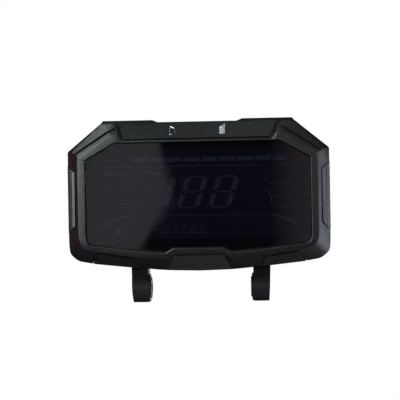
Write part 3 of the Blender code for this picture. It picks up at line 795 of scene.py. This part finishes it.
def make_pockets(side):
    """The cutters for a side's key, pad and badge."""
    outline = on_side(side, offset(KEY_OUTLINE, KEY_HOLE_GROW))
    key_hole = prism("cut_key", outline, (AHEAD, KEY_HOLE_BACK), soften=0.6)
    pad_depths = (AHEAD, PAD_HOLE_BACK)
    outline = on_side(side, offset(SIDE_PAD_OUTLINE, PAD_GAP))
    pad_pocket = prism("cut_pad", outline, pad_depths, soften=0.6)
    inner_part = on_side(side, box_outline(70.0, PAD_GAP_END, -40.0, 40.0))
    combine(pad_pocket, "INTERSECT", prism("inner", inner_part, (AHEAD - 1.0, 20.0)))
    join(pad_pocket, prism("close", on_side(side, offset(SIDE_PAD_OUTLINE, PAD_END_GAP)), pad_depths))
    combine(pad_pocket, "DIFFERENCE", shell(PAD_HOLE_SINK), keep=True)
    outline = on_side(side, offset(BADGE_OUTLINE, BADGE_GAP))
    badge_pocket = prism("cut_badge", outline, (AHEAD, BADGE_BACK))
    combine(badge_pocket, "DIFFERENCE", shell(BADGE_HOLE_SINK), keep=True)
    return key_hole, pad_pocket, badge_pocket


def make_trims():
    """The side pads, and the badges beside the top centre, each a plate with a raised rim."""
    for side, sign in SIDES.items():
        ends = [[(x * sign, z, depth) for x, depth in PAD_PROFILE] for z in PAD_ENDS]
        trim = loft(f"{side}_pad", ends)
        outline = prism("outline", on_side(side, SIDE_PAD_OUTLINE), (AHEAD, PAD_BACK))
        combine(trim, "INTERSECT", outline)
        rounded(trim, width=0.18)
        place(trim, LOOKS["trim_plastic"], replaces=[f"{side}_side_trim"])
        outline = on_side(side, BADGE_OUTLINE)
        badge_depths = (AHEAD, BADGE_BACK)
        badge = skin(f"{side}_badge_plate", outline, badge_depths, BADGE_SINK, BADGE_ROOT)
        cut(badge, skin("recess", offset(outline, -BADGE_RIM), badge_depths, *BADGE_RECESS))
        rounded(badge, width=0.22, segments=3)
        place(badge, LOOKS["badge_chrome"], replaces=[f"{side}_badge"])


def make_keys():
    """Key caps with rounded edges, each in one piece with its inner layers and the posts to its switch.

    The step lies in the gap round the cap, the lip closes that gap where it meets the outline, and the
    liner keeps light out of the bezel's hole.
    """
    for side, sign in SIDES.items():
        outline = on_side(side, KEY_OUTLINE)
        cap, *inner_layers = [
            skin(f"{side}_key_{layer}", offset(outline, grow), depths, outer_sink, inner_sink)
            for layer, (grow, depths, outer_sink, inner_sink) in KEY_LAYERS.items()
        ]
        rounded(cap, width=0.3)
        posts = []
        for name, (half, heights, depths) in KEY_POSTS.items():
            centre = KEY_PUSH_X * sign
            outline = box_outline(centre - half, centre + half, *heights)
            posts.append(prism(name, outline, depths, soften=0.3))
        join(cap, *inner_layers, *posts)
        place(cap, LOOKS["key_plastic"], f"{side}_key", [f"{side}_key"])


# ---------------------------------------------------------------- lens and display
def make_lens():
    """The window with its rounded front edge, and the wider flange behind the bezel's lip."""
    window, flange = -0.3, 2.4
    sections = [
        section(OPENING, 1.3, window - 0.35), section(OPENING, 1.42, window - 0.12),
        section(OPENING, 1.7, window), section(OPENING, 3.6, window), section(OPENING, 3.6, flange),
        section(OPENING, 5.2, flange),
    ]
    lens = loft("lens_window", sections)
    place(lens, LOOKS["lens_acrylic"], replaces=["lens"])


SEGMENT_DEPTHS = (6.1, 6.22)
DIGIT_SLANT = 0.32
DIGIT_GAP = 0.45                                # between a digit's level and upright segments
BAR_COUNT, BAR_START, BAR_PITCH = 9, -41.1, 10.75
BAR_LENGTH, BAR_LOW, BAR_HIGH = 9.5, 20.4, 23.2
BAR_LEAN, LAST_BAR_LEAN = 1.3, -2.0
BIG_DIGITS = ("bc", "abcdefg", "abcdefg")       # the segments that each has, from the left
BIG_DIGIT_END, BIG_DIGIT_PITCH, BIG_DIGIT_SIZE = 15.6, 19.1, (14.0, 18.6)
SMALL_DIGIT_COUNT, SMALL_DIGIT_START, SMALL_DIGIT_PITCH = 5, -19.6, 5.4
LABELS = ((-57.0, 13.0), (-33.8, 11.0))         # (x, length)
STROKES = [                                     # (width, points)
    (1.4, [(-58.0, -18.2), (-53.0, -15.0), (-46.5, -12.8), (-40.0, -12.3)]),
    (0.45, [(-40.0, -12.3), (45.0, -12.3)]),
    (1.6, [(45.0, -12.3), (50.0, -13.6), (55.0, -15.8), (60.0, -18.4)]),
    (0.6, [(38.6, 10.0), (41.4, 8.6), (43.8, 6.6), (46.8, 5.8), (58.0, 5.8)]),
    (0.7, [(40.6, 2.6), (43.2, 0.8), (44.4, -1.6), (44.4, -6.4)]),
    (0.4, [(45.4, -1.0), (58.0, -1.0)]),
    (0.4, [(46.4, -6.6), (49.0, -8.2), (58.0, -8.4)]),
    (0.7, [(-48.0, 4.2), (-44.0, 4.2), (-41.0, 7.0), (-37.0, 8.0)]),
    (0.7, [(-46.0, 1.0), (-42.6, 3.6), (-38.6, 5.4)]),
    (0.6, [(-48.0, -5.0), (-44.0, -4.2), (-40.0, -6.2), (-36.6, -4.6)]),
]


def add_slab(bm, outline):
    front = [bm.verts.new(at(x, SEGMENT_DEPTHS[0], z)) for x, z in outline]
    back = [bm.verts.new(at(x, SEGMENT_DEPTHS[1], z)) for x, z in outline]
    bm.faces.new(front)
    bm.faces.new(back)
    bridge(bm, front, back)


def add_stroke(bm, points, width):
    """A ribbon of constant width along a line of points."""
    left, right = [], []
    for i, point in enumerate(points):
        before = Vector(points[max(i - 1, 0)])
        after = Vector(points[min(i + 1, len(points) - 1)])
        along = (after - before).normalized()
        side = Vector((-along.y, along.x)) * width / 2
        left.append(tuple(Vector(point) + side))
        right.append(tuple(Vector(point) - side))
    add_slab(bm, right + left[::-1])


def add_digit(bm, x, z, size, pieces="abcdefg", bar=0.7, post=3.2):
    """An unlit seven-segment digit round (x, z): bar and post are its level and upright widths."""
    half_w, half_h = size[0] / 2, size[1] / 2

    def lean(px, pz):
        return (x + px + pz * DIGIT_SLANT, z + pz)

    for name, level in (("a", half_h), ("g", 0.0), ("d", -half_h)):
        if name in pieces:
            reach = half_w - post * 0.75
            corners = box_outline(-reach, reach, level - bar / 2, level + bar / 2)
            add_slab(bm, [lean(*corner) for corner in corners])
    for name, side, up in (("f", -1, 1), ("b", 1, 1), ("e", -1, -1), ("c", 1, -1)):
        if name in pieces:
            near, far = up * (bar / 2 + DIGIT_GAP), up * (half_h - 0.2)
            outer, inner = side * half_w, side * (half_w - post)
            corners = [(inner, near + up * 0.5), (outer, near), (outer, far - up * 1.2), (inner, far)]
            if side * up < 0:
                corners.reverse()
            add_slab(bm, [lean(*corner) for corner in corners])


def make_segments():
    """Everything the unlit display shows: bar graph, rule, big digits, labels, arcs and odometer row."""
    bm = bmesh.new()
    for number in range(BAR_COUNT):
        x = BAR_START + BAR_PITCH * number
        right_lean = LAST_BAR_LEAN if number == BAR_COUNT - 1 else BAR_LEAN
        add_slab(bm, [
            (x, BAR_LOW), (x + BAR_LENGTH, BAR_LOW), (x + BAR_LENGTH + right_lean, BAR_HIGH),
            (x + BAR_LEAN, BAR_HIGH),
        ])
    for start, end in ((-57.0, 39.0), (48.0, 59.6)):
        add_slab(bm, box_outline(start, end, 17.5, 18.1))
    for number, pieces in enumerate(BIG_DIGITS):
        add_digit(bm, BIG_DIGIT_END + BIG_DIGIT_PITCH * (number - 2), 1.9, BIG_DIGIT_SIZE, pieces)
    for x, length in LABELS:
        add_slab(bm, box_outline(x, x + length, 13.0, 14.4))
        add_slab(bm, box_outline(x, x + length * 0.5, 15.4, 15.9))
    for number in range(SMALL_DIGIT_COUNT):
        x = SMALL_DIGIT_START + SMALL_DIGIT_PITCH * number
        add_digit(bm, x, -19.9, (2.9, 3.2), bar=0.6, post=0.9)
    add_slab(bm, box_outline(-25.0, 6.0, -22.9, -22.4))
    add_slab(bm, [(-27.2, -21.4), (-24.6, -21.4), (-25.9, -18.4)])
    for width, points in STROKES:
        add_stroke(bm, points, width)
    add_slab(bm, box_outline(-50.4, -47.4, -23.4, -19.0))
    segments = new_piece("lcd_segments", bm)
    place(segments, SEGMENT_LOOK)


# ---------------------------------------------------------------- legs and the back
LEG_INNER = 32.9
LEG_OUTER_TOP = 43.6
LEG_OUTER_LOW = 42.7
LEG_TOP = -16.5
LEG_FRONT = 33.1        # just behind the rear wall
LEG_BACK = 37.1
LEG_LOW = -47.0         # where the arm's back meets the eye
LEG_FOOT = [(25.5, -49.5), (25.5, -45.6), (LEG_FRONT, -38.6)]   # the arm's front below the body
LEG_SCREWS = ((38.0, -21.0), (38.0, -31.0))
LEG_SCREW_HOLE = 2.2
LEG_HOLE_DEPTHS = (32.0, 40.0)  # through the plate
TAPER_TOP = -46.0       # the leg gets narrower below this
TAPER_LENGTH = 20.0
EYE = (31.0, -58.0)     # (depth, z) of the bolt axis
EYE_RADIUS = 9.2
EYE_ARC = (20.0, -220.0, 20)    # where its outline starts and how far it turns, in degrees, and the steps
EYE_BORE = 6.1
EYE_BORE_ENDS = (30.0, 47.0)    # x places on both sides of the leg
BOSS_RADIUS = 8.6
BOSS_HEIGHT = 0.95
BOSS_ROOT = 0.6         # how far it reaches into the leg


def eye_cylinder(name, radius, ends):
    """A cylinder along x on the bolt axis, between two x places."""
    rim = circle(0.0, 0.0, radius)
    return loft(name, [[(x, EYE[1] + pz, EYE[0] + pd) for pd, pz in rim] for x in ends])


def make_legs():
    """Each leg is a plate on the rear wall, an arm and a round eye, narrower towards the eye."""
    start, sweep, steps = EYE_ARC
    turns = [math.radians(start + sweep * i / steps) for i in range(steps + 1)]
    eye = [(EYE[0] + EYE_RADIUS * math.cos(t), EYE[1] + EYE_RADIUS * math.sin(t)) for t in turns]
    plate = [(LEG_FRONT, LEG_TOP), (LEG_BACK, LEG_TOP), (LEG_BACK, LEG_LOW)]
    profile = plate + eye + LEG_FOOT
    for side, sign in SIDES.items():
        inner = [(sign * LEG_INNER, z, depth) for depth, z in profile]
        outer = [(sign * LEG_OUTER_TOP, z, depth) for depth, z in profile]
        leg = loft(f"{side}_leg_arm", [inner, outer])
        bore = eye_cylinder("bore", EYE_BORE, [sign * end for end in EYE_BORE_ENDS])
        boss_ends = (sign * (LEG_INNER - BOSS_HEIGHT), sign * (LEG_INNER + BOSS_ROOT))
        boss = eye_cylinder("boss", BOSS_RADIUS, boss_ends)
        holes = [
            prism("hole", circle(sign * x, z, LEG_SCREW_HOLE, sides=20), LEG_HOLE_DEPTHS)
            for x, z in LEG_SCREWS
        ]
        join(leg, boss)
        cut(leg, bore, *holes)
        rounded(leg, width=0.5)
        for vert in leg.data.vertices:
            x, z = abs(vert.co.x) / MM, vert.co.z / MM - CENTRE_Z
            reach = min(max((TAPER_TOP - z) / TAPER_LENGTH, 0.0), 1.0)
            widen = (x - LEG_INNER) / (LEG_OUTER_TOP - LEG_INNER)
            vert.co.x -= sign * (LEG_OUTER_TOP - LEG_OUTER_LOW) * reach * widen * MM
        place(leg, LOOKS["leg_plastic"], replaces=[f"{side}_leg"])


RELIEF_DEPTHS = (CASE_BACK - 0.4, CASE_BACK + 0.5)
MARK_DEPTHS = (CASE_BACK - 0.4, CASE_BACK + 0.2)
FRAME_OUTER = (-27.0, 27.0, 20.5, 33.5)         # x and z ranges
FRAME_INNER = (-25.8, 25.8, 21.7, 32.3)
RIB_HALF = 0.6
LEVEL_RIB_X, LEVEL_RIB_REACH = 49.0, 9.0        # its centre and half its length
LEVEL_RIB_TOP, LEVEL_RIB_PITCH, LEVEL_RIB_COUNT = 30.0, 4.0, 4
UPRIGHT_RIB_X, UPRIGHT_RIB_ENDS = 22.0, (-34.0, -8.0)
MARK_X, MARK_Z, MARK_RADIUS = 56.0, -26.0, 3.0


def make_case_relief():
    """Shallow moulded relief on the rear wall: a blank frame above the socket, ribs and ejector marks."""
    relief = prism("case_relief", box_outline(*FRAME_OUTER), RELIEF_DEPTHS, soften=2.5)
    hollow_depths = (RELIEF_DEPTHS[0] - 1.0, RELIEF_DEPTHS[1] + 1.0)
    cut(relief, prism("hollow", box_outline(*FRAME_INNER), hollow_depths, soften=1.8))
    rounded(relief, width=0.2)
    parts = []
    for sign in SIDES.values():
        x = sign * LEVEL_RIB_X
        for row in range(LEVEL_RIB_COUNT):
            z = LEVEL_RIB_TOP - LEVEL_RIB_PITCH * row
            outline = box_outline(x - LEVEL_RIB_REACH, x + LEVEL_RIB_REACH, z - RIB_HALF, z + RIB_HALF)
            parts.append(prism("rib", outline, RELIEF_DEPTHS, soften=0.5))
        x = sign * UPRIGHT_RIB_X
        outline = box_outline(x - RIB_HALF, x + RIB_HALF, *UPRIGHT_RIB_ENDS)
        parts.append(prism("rib", outline, RELIEF_DEPTHS, soften=0.5))
        parts.append(prism("mark", circle(sign * MARK_X, MARK_Z, MARK_RADIUS), MARK_DEPTHS))
    for part in parts:
        rounded(part, width=0.2)
    join(relief, *parts)
    place(relief, LOOKS["case_plastic"])


# ---------------------------------------------------------------- CAD nodes that stay
SOFT_NODES = {"rear_case": 0.35, "wire_socket": 0.25, "vent_plug": 0.2}


def softened_node(node, width):
    """Rounds a kept CAD node's edges by modifiers; its mesh isn't touched."""
    piece = frame["nodes"][node]
    weld = piece.modifiers.new("weld", "WELD")
    weld.merge_threshold = 0.005 * MM
    flat = piece.modifiers.new("flat", "DECIMATE")
    flat.decimate_type = "DISSOLVE"
    flat.angle_limit = math.radians(FLAT_ANGLE)
    bevel = piece.modifiers.new("edges", "BEVEL")
    bevel.width = width * MM
    bevel.segments = 2
    bevel.limit_method = "ANGLE"
    bevel.angle_limit = math.radians(32.0)
    normals = piece.modifiers.new("normals", "WEIGHTED_NORMAL")
    normals.keep_sharp = True


def dress_nodes():
    """Every carried-over CAD node gets its slot's finish, and edge radii where it can be seen."""
    for part in frame["record"]["subparts"]:
        node = frame["nodes"][part["node"]]
        node.data.materials.clear()
        node.data.materials.append(LOOKS[part["material_slot"]])
    for name, width in SOFT_NODES.items():
        softened_node(name, width)


make_camera()
make_lights()
make_stage()
make_bezel()
make_trims()
make_keys()
make_lens()
make_segments()
make_legs()
make_case_relief()
dress_nodes()
for guide in SHELLS.values():
    bpy.data.objects.remove(guide, do_unlink=True)
